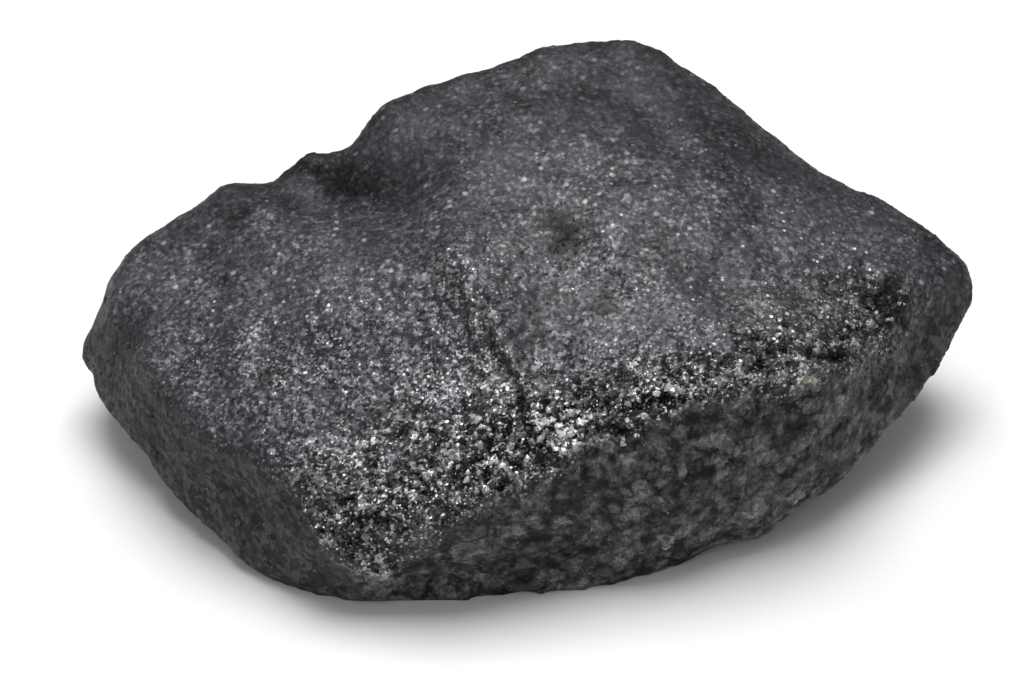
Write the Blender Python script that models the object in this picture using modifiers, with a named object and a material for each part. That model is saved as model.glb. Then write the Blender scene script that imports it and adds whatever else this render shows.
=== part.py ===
"""A hand specimen of massive granular magnetite: one broken block, about 80 mm long.

The block is a low wedge with a diamond-shaped plan. It lies on a flat broken foot. Its crown
slopes down towards the front and to both ends, and is highest at the back. Two steep front faces
stand under the crown and meet in a blunt front corner.

The form is made in five steps: a convex hull of the corners, rounded edges, brushes that press
hollows and raise ridges, a hackly broken relief, and the cut that makes the foot.

Frame: +Z up, +X along the block, +Y from front to back, the origin under the middle of the block
at the level of the foot. Lengths are in millimetres until the last step.
"""

import bmesh
import bpy
import numpy as np
from mathutils import Vector, noise

MILLIMETRE = 0.001
NODE_NAME = "magnetite"

# Corners of the block, before the edges are rounded.
CROWN_FRONT_EDGE = [
    (-37.5, 1.5, 13.5),
    (-32.0, -7.5, 13.5),
    (-27.5, -14.0, 12.5),
    (-21.0, -17.5, 12.0),
    (-17.0, -20.5, 11.5),
    (-15.0, -23.5, 7.5),
    (-4.0, -24.0, 10.5),
    (2.0, -22.5, 12.5),
    (5.0, -19.0, 15.5),
    (15.5, -16.5, 18.0),
    (26.5, -13.5, 18.0),
    (34.0, -3.0, 17.5),
]
CROWN_BACK_EDGE = [
    (-36.0, 8.0, 14.5),
    (-33.5, 10.8, 16.2),
    (-29.5, 12.5, 17.8),
    (-24.5, 12.5, 19.3),
    (-19.0, 14.5, 22.0),
    (-11.0, 19.0, 25.6),
    (-4.5, 20.8, 27.2),
    (3.0, 23.0, 28.3),
    (7.0, 25.0, 28.5),
    (12.3, 25.0, 27.9),
    (17.8, 22.8, 26.0),
    (23.5, 18.7, 22.6),
    (28.5, 13.5, 20.0),
    (33.5, 10.0, 18.0),
    (41.0, 7.5, 16.3),
]
CROWN_TOP = [
    (-12.0, -2.0, 21.0),
    (-5.0, -1.0, 22.8),
    (10.0, 0.0, 23.5),
    (14.0, -12.0, 19.5),
    (-6.0, -14.0, 16.0),
]
LOWER_EDGE_FRONT = [
    (-40.0, 4.0, 7.5),
    (-36.5, -3.5, 4.5),
    (-32.0, -8.8, 3.5),
    (-28.0, -14.5, 2.2),
    (-24.0, -18.0, 1.0),
    (-18.5, -20.0, -2.2),
    (-12.5, -21.5, -2.5),
    (6.0, -21.5, -2.5),
    (13.0, -19.5, 0.2),
    (21.5, -16.5, 0.5),
    (25.0, -14.5, 1.0),
    (31.0, -8.5, 4.5),
    (35.5, -5.0, 7.0),
    (39.0, -1.0, 9.0),
    (42.5, 6.0, 12.5),
]
BACK_FACES = [
    (-37.0, 9.0, 7.0),
    (-25.0, 15.0, -2.2),
    (-12.0, 22.0, 1.5),
    (4.0, 25.5, -2.5),
    (-3.0, 26.5, 11.0),
    (13.0, 28.0, 13.0),
    (15.0, 26.5, 3.0),
    (26.0, 18.5, -2.0),
    (31.0, 17.0, 9.0),
    (39.0, 10.0, 8.0),
]

# Rounding of the broken edges.
GRID = 1.0
ROUNDING_PASSES = 5

# Brushes: start, end, reach, depth. Each one presses the surface in by its depth along the
# stretch from start to end, and fades out over its reach. A negative depth raises a ridge.
BRUSHES = {
    "hollow under the back rim": ((-17.5, 10.5, 22.0), (-10.5, 8.5, 24.0), 4.0, 2.4),
    "notch in the back rim": ((-15.5, 16.0, 24.5), (-17.0, 20.0, 21.0), 2.6, 1.8),
    "dip beside the left rim": ((-23.3, 12.5, 20.5), (-22.0, 17.0, 19.0), 2.2, 1.3),
    "lump on the left rim": ((-26.0, 12.5, 20.0), (-26.5, 14.0, 19.0), 2.4, -0.7),
    "bay in the left rim": ((-39.0, 4.5, 12.0), (-36.5, -1.0, 13.5), 3.0, 1.0),
    "bay in the right rim": ((25.0, 18.5, 22.5), (30.0, 14.5, 21.0), 4.0, 0.8),
    "scooped right panel": ((3.0, -10.0, 19.5), (6.0, -4.0, 22.0), 6.5, 1.1),
    "crest beside the scoop": ((-4.5, -1.5, 22.5), (1.0, -14.5, 18.0), 1.9, -0.7),
    "slope of the right end": ((32.5, -8.0, 15.5), (36.5, -3.0, 14.0), 4.0, 1.4),
    "pit on the right crown": ((30.5, -1.5, 18.5), (32.0, -2.5, 18.0), 2.0, 1.0),
    "undercut of the front foot": ((-5.0, -23.0, 2.5), (8.0, -21.5, 2.5), 4.0, 1.3),
    "bay in the right foot": ((13.5, -19.5, 0.0), (18.5, -17.5, 0.5), 3.0, 1.5),
    "second bay in the right foot": ((24.0, -14.0, 1.5), (26.5, -12.5, 2.0), 2.2, 1.0),
    "dint in the front face": ((1.0, -21.5, 9.5), (7.0, -20.0, 10.5), 3.0, 0.8),
    "boss on the front face": ((14.0, -18.0, 10.0), (17.0, -17.0, 11.0), 3.0, -0.7),
    "ledge below the crown": ((6.0, -19.5, 14.5), (12.0, -18.0, 15.5), 1.6, 0.7),
    "dint in the left face": ((-27.0, -16.0, 7.0), (-22.0, -19.0, 7.5), 4.0, 0.8),
    "chip in the back face": ((-14.0, 21.0, 16.0), (-6.0, 24.0, 12.0), 5.5, 1.8),
    "second chip in the back": ((17.0, 25.0, 7.0), (24.0, 21.0, 12.0), 5.0, 1.5),
    "rib on the back face": ((4.0, 25.5, 24.0), (2.0, 26.5, 4.0), 3.0, -0.9),
}

# Relief along the surface normal: (size, height) of the rolling noise and of the creases.
ROLLS = ((12.0, 0.6), (6.0, 0.3), (3.2, 0.2))
CREASES = ((9.0, 0.3), (4.5, 0.2))
CREASE_WIDTH = 0.25
CREASE_SHIFT = (5.0, 9.0, 2.0)

FOOT_LEVEL = 0.0
CUT_MARGIN = 0.002
TRIANGLES = 11300

BODY_COLOUR = (0.045, 0.045, 0.05, 1.0)
BODY_ROUGHNESS = 0.45
BODY_METALLIC = 0.35


def clear_scene():
    for item in list(bpy.data.objects):
        bpy.data.objects.remove(item)


def hull_mesh(corners):
    """The convex hull of the corners, as a closed mesh."""
    shape = bmesh.new()
    for corner in corners:
        shape.verts.new(corner)
    made = bmesh.ops.convex_hull(shape, input=shape.verts)
    inside = [item for item in made["geom_interior"] if isinstance(item, bmesh.types.BMVert)]
    bmesh.ops.delete(shape, geom=inside, context="VERTS")
    bmesh.ops.recalc_face_normals(shape, faces=shape.faces)
    mesh = bpy.data.meshes.new(NODE_NAME)
    shape.to_mesh(mesh)
    shape.free()
    return mesh


def apply_modifiers(block):
    """Replaces the block's mesh with its evaluated mesh."""
    graph = bpy.context.evaluated_depsgraph_get()
    mesh = bpy.data.meshes.new_from_object(block.evaluated_get(graph))
    block.modifiers.clear()
    block.data = mesh


def round_edges(block):
    """Meshes the hull evenly and eases its edges."""
    remesh = block.modifiers.new("even_mesh", "REMESH")
    remesh.mode = "VOXEL"
    remesh.voxel_size = GRID
    ease = block.modifiers.new("worn_edges", "SMOOTH")
    ease.iterations = ROUNDING_PASSES
    apply_modifiers(block)


def points_of(mesh):
    flat = np.empty(len(mesh.vertices) * 3, np.float32)
    mesh.vertices.foreach_get("co", flat)
    return flat.reshape(-1, 3).astype(float)


def normals_of(mesh):
    flat = np.empty(len(mesh.vertices) * 3, np.float32)
    mesh.vertex_normals.foreach_get("vector", flat)
    return flat.reshape(-1, 3).astype(float)


def set_points(mesh, points):
    mesh.vertices.foreach_set("co", points.astype(np.float32).ravel())
    mesh.update()


def distance_to_stretch(points, start, end):
    """Each point's distance from the straight stretch between start and end."""
    start, end = np.array(start), np.array(end)
    along = end - start
    share = np.clip((points - start) @ along / (along @ along), 0.0, 1.0)
    return np.linalg.norm(points - start - share[:, None] * along, axis=1)


def brush(mesh):
    """Presses the hollows and raises the ridges."""
    points = points_of(mesh)
    normals = normals_of(mesh)
    depth = np.zeros(len(points))
    for start, end, reach, deep in BRUSHES.values():
        depth += deep * np.exp(-((distance_to_stretch(points, start, end) / reach) ** 2))
    set_points(mesh, points - normals * depth[:, None])


def relief_height(point):
    """Rolling noise, less the creases that break it into ledges."""
    point = Vector(point)
    height = sum(high * noise.noise(point / size) for size, high in ROLLS)
    for size, high in CREASES:
        level = noise.noise(point / size + Vector(CREASE_SHIFT))
        nearness = max(0.0, 1.0 - abs(level) / CREASE_WIDTH)
        height -= high * nearness * nearness
    return height


def break_surface(mesh):
    """Gives the surface its hackly relief."""
    points = points_of(mesh)
    heights = np.array([relief_height(point) for point in points])
    set_points(mesh, points + normals_of(mesh) * heights[:, None])


def thin_out(block):
    """Collapses the even mesh to the triangle count of the part."""
    faces = sum(len(face.vertices) - 2 for face in block.data.polygons)
    thin = block.modifiers.new("fewer_triangles", "DECIMATE")
    thin.ratio = TRIANGLES / faces
    apply_modifiers(block)


def cut_foot(mesh):
    """Cuts the block off flat at the level that it rests on."""
    shape = bmesh.new()
    shape.from_mesh(mesh)
    everything = shape.verts[:] + shape.edges[:] + shape.faces[:]
    bmesh.ops.bisect_plane(
        shape,
        geom=everything,
        dist=CUT_MARGIN,
        plane_co=(0.0, 0.0, FOOT_LEVEL),
        plane_no=(0.0, 0.0, -1.0),
        clear_outer=True,
    )
    for vert in shape.verts:
        if vert.co.z < FOOT_LEVEL + CUT_MARGIN:
            vert.co.z = FOOT_LEVEL
    open_edges = [edge for edge in shape.edges if edge.is_boundary]
    bmesh.ops.holes_fill(shape, edges=open_edges, sides=0)
    bmesh.ops.triangulate(shape, faces=shape.faces[:])
    bmesh.ops.recalc_face_normals(shape, faces=shape.faces)
    shape.to_mesh(mesh)
    shape.free()


def place(mesh):
    """Brings the point under the block's middle to the origin, in metres."""
    points = points_of(mesh)
    low, high = points.min(axis=0), points.max(axis=0)
    under_middle = np.array([(low[0] + high[0]) / 2, (low[1] + high[1]) / 2, low[2]])
    set_points(mesh, (points - under_middle) * MILLIMETRE)


def magnetite_material():
    material = bpy.data.materials.new("magnetite")
    material.use_nodes = True
    shader = material.node_tree.nodes["Principled BSDF"]
    shader.inputs["Base Color"].default_value = BODY_COLOUR
    shader.inputs["Roughness"].default_value = BODY_ROUGHNESS
    shader.inputs["Metallic"].default_value = BODY_METALLIC
    return material


def make_block():
    corners = CROWN_FRONT_EDGE + CROWN_BACK_EDGE + CROWN_TOP + LOWER_EDGE_FRONT + BACK_FACES
    block = bpy.data.objects.new(NODE_NAME, hull_mesh(corners))
    collection = bpy.data.collections.new("magnetite specimen")
    bpy.context.scene.collection.children.link(collection)
    collection.objects.link(block)
    round_edges(block)
    brush(block.data)
    break_surface(block.data)
    thin_out(block)
    cut_foot(block.data)
    place(block.data)
    block.data.materials.append(magnetite_material())
    return block


clear_scene()
make_block()
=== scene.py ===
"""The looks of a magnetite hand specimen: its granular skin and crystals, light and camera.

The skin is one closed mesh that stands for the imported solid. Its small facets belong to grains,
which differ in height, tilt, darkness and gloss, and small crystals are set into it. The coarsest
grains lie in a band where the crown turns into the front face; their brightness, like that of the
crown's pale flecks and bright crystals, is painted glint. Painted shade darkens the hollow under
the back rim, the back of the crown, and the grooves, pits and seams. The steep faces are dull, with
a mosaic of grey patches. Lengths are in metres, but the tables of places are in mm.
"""

import math
from collections import namedtuple

import bmesh
import bpy
import numpy as np
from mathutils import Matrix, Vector


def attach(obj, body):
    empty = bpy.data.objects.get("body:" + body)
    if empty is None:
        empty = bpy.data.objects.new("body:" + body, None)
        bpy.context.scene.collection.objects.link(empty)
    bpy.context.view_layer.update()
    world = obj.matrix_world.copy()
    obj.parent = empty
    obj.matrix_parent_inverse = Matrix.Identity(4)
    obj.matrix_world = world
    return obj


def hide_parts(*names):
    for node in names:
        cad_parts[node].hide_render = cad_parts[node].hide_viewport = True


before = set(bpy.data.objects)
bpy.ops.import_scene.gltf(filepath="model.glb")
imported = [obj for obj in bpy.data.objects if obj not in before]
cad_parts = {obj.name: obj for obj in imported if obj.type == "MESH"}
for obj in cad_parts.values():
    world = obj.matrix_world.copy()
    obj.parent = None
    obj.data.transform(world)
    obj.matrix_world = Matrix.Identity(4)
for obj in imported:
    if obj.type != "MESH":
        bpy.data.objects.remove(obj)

MM = 0.001
NODE = "magnetite"
FAR_AWAY = 1e9

# The even mesh that the skin starts from. Its foot is cut flat a little above the ground.
EVEN_GRID = 0.63 * MM
EASING_PASSES = 4
FACET_JITTER = 0.09 * MM
FOOT_TRIM = 0.12 * MM

# Grains: the size of a grain's cell, its height, its tilt and the depth of the seams around it.
FINE_GRAIN = 0.6 * MM
COARSE_GRAIN = 1.15 * MM
GRAIN_HEIGHT = 0.15
GRAIN_TILT = 0.34
SEAM_WIDTH = 0.22
SEAM_DEPTH = 0.14
FACET_ROUGHNESS = 0.012 * MM

# The dull, steep faces have a coarse mosaic of patches, raised in the mesh and drawn in colour.
PATCH = 1.5 * MM
PATCH_HEIGHT = 0.09 * MM
PATCH_SEAM_WIDTH = 0.2
DRAWN_PATCH = 1.7 * MM

# Crystal faces that are finer than the mesh, and drawn in the material.
FINE_FACE = 0.27 * MM
LARGE_FACE = 0.52 * MM

# The band of coarse grains, made bright with painted glints. Each row: x, y, z and reach in mm, and
# strength.
BAND = (
    (-12.2, -25.0, 5.0, 2.2, 0.6),
    (-13.8, -24.2, 9.6, 4.2, 0.9),
    (-9.0, -22.3, 12.3, 4.3, 0.85),
    (-4.0, -20.6, 14.2, 4.6, 0.95),
    (1.5, -18.8, 15.9, 4.0, 1.15),
    (6.1, -17.4, 16.9, 3.6, 0.95),
    (11.1, -17.5, 18.2, 3.0, 1.0),
    (15.3, -16.3, 18.7, 2.6, 0.75),
    (24.1, -12.0, 18.3, 3.5, 0.7),
    (30.0, -5.0, 17.2, 4.2, 0.6),
)

# Where the crown has many small bright flecks, painted glints. The rows are as in the band.
SPARKLE = (
    (-27.0, -9.0, 14.8, 8.0, 0.36),
    (-18.0, -14.0, 14.5, 9.0, 0.40),
    (-7.0, -13.0, 17.0, 6.0, 0.6),
    (-5.5, -6.0, 21.3, 4.2, 0.5),
    (6.0, 4.0, 24.3, 7.0, 1.0),
    (18.0, 4.0, 23.0, 6.0, 0.6),
    (-17.4, -22.0, 11.5, 3.2, 1.4),
    (-16.5, -24.3, 8.0, 2.7, 1.4),
)
SPARKLE_RIGHT = (
    (0.0, -16.5, 17.0, 4.5, 0.55),
    (10.0, -14.5, 18.8, 4.5, 0.4),
    (20.0, -11.0, 19.3, 6.0, 1.1),
    (29.0, -5.0, 17.2, 7.0, 1.3),
)

# Where the grains are more worn, and less worn, than around. The rows are as in the band.
WORN_SPOTS = (
    (3.0, -8.5, 20.5, 6.0, 0.85),
    (9.5, -9.5, 20.0, 5.0, 0.6),
    (16.0, -6.0, 20.5, 6.0, 0.55),
    (-12.5, -3.5, 19.8, 4.5, 0.85),
    (-18.5, -16.0, 13.5, 4.5, 0.35),
    (-12.5, -15.0, 15.6, 3.0, 0.5),
    (-26.0, -12.0, 13.5, 5.0, 0.55),
)
FRESH_SPOTS = (
    (29.0, -1.0, 17.5, 6.0, 0.5),
    (-5.0, -5.0, 21.5, 3.5, 0.35),
)

# Where the crown has sparse bright dots, painted glints. The rows are as in the band.
STARRY = (
    (27.0, 1.0, 20.0, 7.0, 1.0),
    (20.0, -3.0, 21.0, 6.0, 0.8),
    (9.0, 2.0, 24.0, 6.0, 0.75),
    (17.0, 8.0, 24.0, 6.0, 0.6),
    (12.0, -8.0, 20.7, 5.0, 0.6),
    (-20.0, -4.0, 18.5, 6.0, 0.6),
    (-28.0, -3.0, 16.0, 5.0, 0.5),
    (-2.0, 10.0, 25.0, 6.0, 0.4),
    (4.0, -5.0, 21.0, 4.0, 0.4),
    (14.5, -14.2, 19.7, 3.0, 1.4),
    (21.5, -9.5, 19.4, 4.0, 1.5),
    (27.0, -7.0, 18.1, 3.6, 1.5),
    (31.0, -3.4, 17.0, 3.2, 1.5),
)

# The height of the crown's edge along the front, in mm: below it the faces are dull.
CROWN_EDGE = (
    (-40.0, 11.5),
    (-36.0, 12.6),
    (-32.5, 13.2),
    (-28.6, 12.2),
    (-22.0, 12.0),
    (-19.3, 10.6),
    (-17.6, 8.0),
    (-15.8, 5.5),
    (-14.1, 4.3),
    (-12.5, 3.5),
    (-11.2, 4.3),
    (-9.0, 6.1),
    (-7.2, 9.1),
    (-4.8, 10.9),
    (-0.6, 11.7),
    (2.7, 13.7),
    (6.1, 14.8),
    (8.5, 15.3),
    (13.6, 17.6),
    (19.5, 17.2),
    (21.3, 16.5),
    (25.2, 17.2),
    (27.6, 15.8),
    (30.9, 13.0),
    (33.4, 12.6),
    (35.2, 14.2),
    (37.0, 14.8),
    (40.0, 13.0),
)

# Grooves in the crown: a route, and its half-width, depth and darkness, which is painted shade in the
# groove.
GROOVES = {
    "foot of the crest": (
        ((-4.0, -7.6, 21.6), (-3.4, -10.7, 19.7), (-2.9, -12.5, 18.6), (-1.2, -14.8, 17.5),
         (-0.2, -17.4, 16.4), (-0.1, -19.9, 15.2)), 0.45, 0.4, 0.85),
    "line above the band": (((0.2, -16.9, 17.0), (3.6, -17.0, 16.7)), 0.2, 0.2, 0.8),
    "ledge above the front": (((3.6, -17.0, 16.6), (6.4, -17.3, 16.9)), 0.35, 0.45, 1.0),
    "gap in the ledge": (((10.9, -17.0, 18.7), (11.8, -17.9, 18.4)), 0.3, 0.35, 1.0),
    "hole under the ledge": (((6.6, -19.5, 16.0), (8.2, -19.7, 15.9)), 0.55, 0.45, 0.95),
    "long ledge": (((8.2, -18.5, 17.2), (9.8, -18.2, 17.7), (11.7, -18.0, 18.3)), 0.42, 0.5, 1.0),
    "end of the ledge": (((13.0, -18.3, 18.1), (14.8, -18.1, 18.0)), 0.35, 0.35, 0.9),
    "gap in the band": (((5.0, -19.6, 15.9), (6.2, -19.7, 15.9)), 0.5, 0.45, 1.0),
    "gap under the band": (((1.8, -21.7, 14.0), (2.9, -21.5, 14.2)), 0.4, 0.3, 0.8),
    "right notch": (((24.0, -12.1, 18.3), (25.7, -11.8, 17.6), (26.9, -11.0, 17.2)), 0.8, 0.4, 1.0),
    "upper right notch": (((26.0, -9.6, 18.1), (27.9, -9.0, 17.6)), 0.4, 0.4, 0.9),
    "right crack": (((18.0, -12.2, 19.6), (20.0, -11.9, 19.3)), 0.35, 0.3, 0.9),
    "lower right crack": (((13.6, -14.3, 19.5), (18.8, -13.1, 19.2)), 0.22, 0.15, 0.5),
    "right gap": (((17.5, -11.0, 19.9), (19.6, -11.2, 19.4)), 0.3, 0.25, 0.85),
    "second right gap": (((18.1, -13.0, 19.3), (20.7, -13.1, 18.9)), 0.3, 0.25, 0.8),
    "far right gap": (((27.1, -8.4, 18.1), (31.0, -5.9, 16.0)), 0.3, 0.25, 0.85),
    "stained gap": (((29.1, -2.5, 17.4), (30.7, -3.1, 17.0)), 0.4, 0.25, 0.9),
    "small right gap": (((22.1, -9.7, 19.3), (23.9, -9.7, 18.9)), 0.25, 0.25, 0.8),
    "end crack": (((29.7, 0.2, 18.8), (30.2, -2.2, 17.7), (33.2, -3.4, 14.6)), 0.5, 0.3, 0.9),
}

# Painted shade in the hollow under the back rim, as a route. The rows are as in the band.
SHADES = (
    (-20.2, 12.3, 20.8, 1.5, 0.55),
    (-17.5, 10.6, 20.7, 2.2, 0.7),
    (-14.4, 8.7, 20.6, 2.4, 0.65),
    (-11.5, 6.6, 20.9, 2.3, 0.5),
)
# How much painted shade darkens the back of the crown and the right end.
BACK_SHADE = 0.45
END_SHADE = 0.35

# Darker and lighter spots: partly painted shade and painted light, partly darker and lighter stone. The
# rows are as in the band.
SHADE_AND_DARK_SPOTS = (
    (-28.8, 3.5, 17.2, 1.6, 0.45),
    (-26.8, 0.2, 17.4, 1.5, 0.45),
    (-30.8, 6.1, 17.5, 1.6, 0.4),
    (-26.2, 6.2, 19.1, 1.4, 0.45),
    (3.2, -0.6, 22.8, 2.2, 0.75),
    (9.0, 3.0, 24.5, 6.0, 0.22),
    (1.0, -20.7, 15.0, 1.2, 0.6),
    (-1.8, 3.0, 24.0, 1.6, 0.35),
    (10.4, 4.2, 24.2, 1.3, 0.4),
    (16.5, 9.0, 24.0, 1.5, 0.45),
    (20.5, 3.0, 22.4, 1.6, 0.4),
    (-21.5, 8.0, 20.0, 1.6, 0.5),
    (-14.5, -2.5, 19.3, 1.5, 0.3),
    (31.6, -3.2, 16.8, 2.4, 0.85),
    (25.4, -12.1, 18.0, 1.1, 0.8),
    (12.6, -3.0, 21.9, 1.3, 0.4),
    (-6.0, -6.5, 21.5, 4.5, 0.18),
    (1.1, -9.3, 19.7, 5.0, 0.38),
    (-19.5, -14.2, 14.9, 6.0, 0.33),
    (14.0, -2.5, 22.0, 6.0, 0.36),
    (23.0, -16.0, 12.0, 6.0, 0.16),
    (30.0, -10.0, 11.0, 5.0, 0.36),
    (-31.0, -12.5, 8.0, 7.0, 0.15),
    (7.8, -5.3, 21.3, 1.4, 0.4),
    (-0.5, 1.5, 23.8, 2.5, 0.25),
    (-14.0, 0.2, 20.8, 2.2, 0.25),
    (17.3, 8.1, 23.8, 1.8, 0.3),
    (-1.9, -22.9, 12.9, 1.2, 0.4),
    (31.0, -9.0, 10.6, 2.0, 0.4),
    (1.5, -22.5, 5.0, 5.0, 0.3),
    (-36.5, -3.0, 11.0, 4.0, 0.3),
)
LIGHT_SPOTS = (
    (-11.0, 12.0, 24.3, 3.6, 0.5),
    (-8.5, 9.5, 23.8, 2.5, 0.3),
    (36.5, 1.5, 12.0, 4.0, 0.45),
    (-33.0, 1.5, 15.5, 5.0, 0.33),
    (-16.0, -3.5, 19.5, 4.0, 0.36),
    (-21.5, -4.0, 18.0, 4.0, 0.3),
    (27.0, 1.2, 20.0, 6.0, 0.3),
)

# Brighter nests of grains, painted glints. The rows are as in the band.
NESTS = (
    (1.6, -18.5, 16.1, 0.9, 0.9),
    (3.2, -19.7, 15.7, 1.0, 1.0),
    (4.4, -19.6, 15.9, 0.7, 0.9),
    (-2.5, -15.7, 16.8, 1.3, 0.6),
    (12.1, -17.4, 18.5, 0.8, 0.35),
    (14.4, -17.6, 18.4, 0.8, 0.3),
    (-3.6, -15.8, 16.7, 0.8, 0.6),
    (23.0, -12.2, 18.8, 1.0, 0.6),
    (-7.6, -6.0, 21.4, 2.2, 0.45),
    (-31.8, -4.4, 14.8, 0.9, 0.5),
    (-28.6, -6.3, 15.2, 0.9, 0.5),
    (-23.9, -2.3, 17.6, 1.0, 0.5),
    (-31.6, 0.1, 15.8, 1.0, 0.35),
    (-21.5, -5.8, 17.5, 1.2, 0.4),
    (-12.0, -21.5, 12.4, 1.0, 0.5),
    (-15.2, -23.6, 10.0, 0.9, 0.4),
    (-6.5, -20.2, 14.2, 1.4, 0.25),
)

# Bright fragments, crystals whose brightness is painted glint: a place and a size in mm, and a
# brightness.
FRAGMENTS = (
    (1.1, -18.6, 16.1, 0.55, 0.95),
    (1.9, -18.8, 16.0, 0.5, 0.85),
    (3.0, -18.2, 16.2, 0.45, 0.75),
    (2.7, -19.6, 15.6, 0.5, 0.85),
    (3.4, -19.4, 15.8, 0.6, 1.0),
    (2.4, -20.6, 15.1, 0.4, 1.0),
    (4.3, -19.8, 15.9, 0.42, 0.95),
    (4.6, -18.8, 16.2, 0.25, 0.95),
    (4.1, -20.6, 15.2, 0.25, 0.9),
    (-0.7, -19.3, 15.3, 0.42, 0.75),
    (-0.5, -18.8, 15.5, 0.3, 0.7),
    (-3.3, -18.9, 15.4, 0.4, 0.75),
    (-7.6, -19.1, 14.4, 0.42, 0.65),
    (-3.9, -20.1, 14.6, 0.4, 0.75),
    (-2.9, -17.2, 16.2, 0.32, 0.9),
    (-1.0, -17.8, 16.0, 0.33, 0.75),
    (0.6, -15.4, 17.5, 0.42, 0.6),
    (3.2, -21.6, 14.4, 0.5, 0.55),
    (9.2, -17.1, 18.2, 0.35, 0.9),
    (12.3, -17.6, 18.6, 0.42, 0.85),
    (11.5, -18.8, 17.5, 0.35, 0.9),
    (10.9, -19.2, 17.0, 0.25, 0.9),
    (8.9, -14.4, 19.1, 0.36, 0.8),
    (10.1, -15.1, 19.2, 0.33, 0.75),
    (9.2, -19.8, 15.8, 0.3, 0.95),
    (8.7, -19.6, 16.3, 0.3, 0.75),
    (7.9, -20.2, 15.0, 0.3, 0.8),
    (6.9, -16.7, 17.5, 0.35, 0.7),
    (14.4, -17.5, 18.5, 0.4, 0.6),
    (-18.9, -22.9, 10.0, 0.28, 0.95),
    (-16.0, -23.6, 9.8, 0.4, 0.9),
    (-10.3, -25.3, 9.6, 0.36, 0.7),
    (-12.4, -21.0, 12.6, 0.33, 0.7),
    (-10.0, -20.6, 13.4, 0.3, 0.75),
    (30.8, -2.1, 17.7, 0.2, 0.8),
    (33.2, -1.7, 17.1, 0.35, 0.75),
    (33.0, -3.0, 16.7, 0.3, 0.75),
    (31.8, -4.8, 16.2, 0.38, 0.7),
    (4.1, -6.3, 20.6, 0.3, 1.0),
    (5.2, -5.6, 20.9, 0.25, 0.8),
    (8.6, -7.8, 20.7, 0.17, 0.75),
    (10.1, -15.0, 19.2, 0.32, 0.8),
    (12.2, -13.4, 19.8, 0.28, 0.95),
    (15.3, -11.6, 19.9, 0.26, 0.9),
    (13.6, -9.0, 20.7, 0.18, 0.7),
    (12.3, -8.5, 20.9, 0.16, 0.65),
    (20.1, -8.9, 19.7, 0.2, 0.7),
    (18.2, -12.5, 19.5, 0.25, 0.75),
    (-26.7, -10.2, 14.8, 0.3, 0.6),
    (-20.9, -11.7, 15.7, 0.3, 0.55),
    (-28.1, -6.4, 15.3, 0.3, 0.55),
    (33.2, -3.9, 15.2, 0.32, 0.65),
    (3.2, 2.2, 23.9, 0.18, 0.62),
    (3.5, 1.0, 23.6, 0.22, 0.7),
    (4.3, 1.6, 23.8, 0.2, 0.62),
    (4.0, 0.2, 23.4, 0.18, 0.62),
    (1.3, 6.8, 24.9, 0.26, 0.72),
    (15.8, -19.3, 13.4, 0.3, 0.35),
    (16.3, -19.3, 13.0, 0.2, 0.6),
    (17.0, -19.2, 11.7, 0.25, 0.4),
    (18.5, -17.7, 16.1, 0.3, 0.4),
    (20.1, -17.4, 15.5, 0.3, 0.45),
    (21.3, -16.7, 16.3, 0.3, 0.5),
    (23.5, -16.3, 14.6, 0.3, 0.35),
)

# Stains: centre and reach in mm, and strength.
RUST = (
    (3.1, 0.3, 23.1, 2.0, 1.1),
    (7.4, -19.6, 15.9, 1.0, 0.7),
    (1.0, -20.9, 14.8, 1.3, 0.45),
    (6.7, -8.1, 20.4, 1.4, 0.9),
    (3.0, -1.6, 22.3, 1.5, 1.0),
    (31.9, -3.0, 16.9, 2.2, 1.2),
    (29.4, -2.6, 17.3, 1.1, 0.9),
    (-26.2, 6.2, 19.1, 1.5, 0.6),
    (-11.4, 8.5, 21.6, 0.7, 0.6),
    (4.0, -22.6, 10.9, 2.0, 0.6),
    (28.0, -12.5, 7.0, 2.5, 0.5),
)
CREAM = (
    (19.3, -17.8, 5.0, 0.9, 0.7),
    (12.1, -20.7, 4.2, 0.8, 0.65),
    (24.1, -14.9, 17.9, 0.8, 1.0),
    (22.6, -15.9, 17.6, 0.7, 0.9),
    (24.5, -13.6, 18.1, 0.5, 0.9),
    (5.7, -22.3, 7.4, 0.6, 0.6),
    (23.5, -16.0, 5.0, 0.9, 1.0),
    (26.7, -13.8, 14.5, 0.5, 0.6),
    (-12.5, -24.8, 4.4, 1.0, 0.9),
    (7.5, -21.6, 3.7, 0.6, 0.65),
)

# Pits between the coarse grains of the band, sunk in the mesh and darkened with painted shade.
PIT = 1.3 * MM
PIT_DEPTH = 0.35 * MM

# Crystals set into the skin: the spacing of their lattice, their smallest and largest size, and
# how deep they sink, in sizes.
CROWN_SPACING = 0.4 * MM
CROWN_SIZES = (0.09 * MM, 0.18 * MM)
CROWN_DEPTHS = (0.3, 0.7)
BAND_SPACING = 0.6 * MM
BAND_SIZES = (0.13 * MM, 0.44 * MM)
BAND_DEPTHS = (0.05, 0.45)
CLEAR_OF_FOOT = 1.5 * MM

CAMERA_AIM = Vector((-1.3, -1.9, 12.0)) * MM
CAMERA_ELEVATION = math.radians(38.0)
CAMERA_DISTANCE = 254 * MM
CAMERA_LENS = 100.0
CAMERA_NEAREST = 0.01
LIGHT_AIM = Vector((0, 0, 12.0 * MM))
SKY_STRENGTH = 0.3
FLOOR_HALF_WIDTH = 3.0
FLOOR_GAP = 0.05 * MM


# ---------------------------------------------------------------- random numbers and grain cells

def scramble(a, b, c, seed):
    """A random 32-bit number for each whole-number place (a, b, c)."""
    key = (a * 73856093) ^ (b * 19349663) ^ (c * 83492791) ^ (seed * 2654435761)
    key = (key & 0xFFFFFFFF).astype(np.uint64)
    key = (key ^ (key >> 16)) * 0x45D9F3B & 0xFFFFFFFF
    key = (key ^ (key >> 16)) * 0x45D9F3B & 0xFFFFFFFF
    return key ^ (key >> 16)


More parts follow.
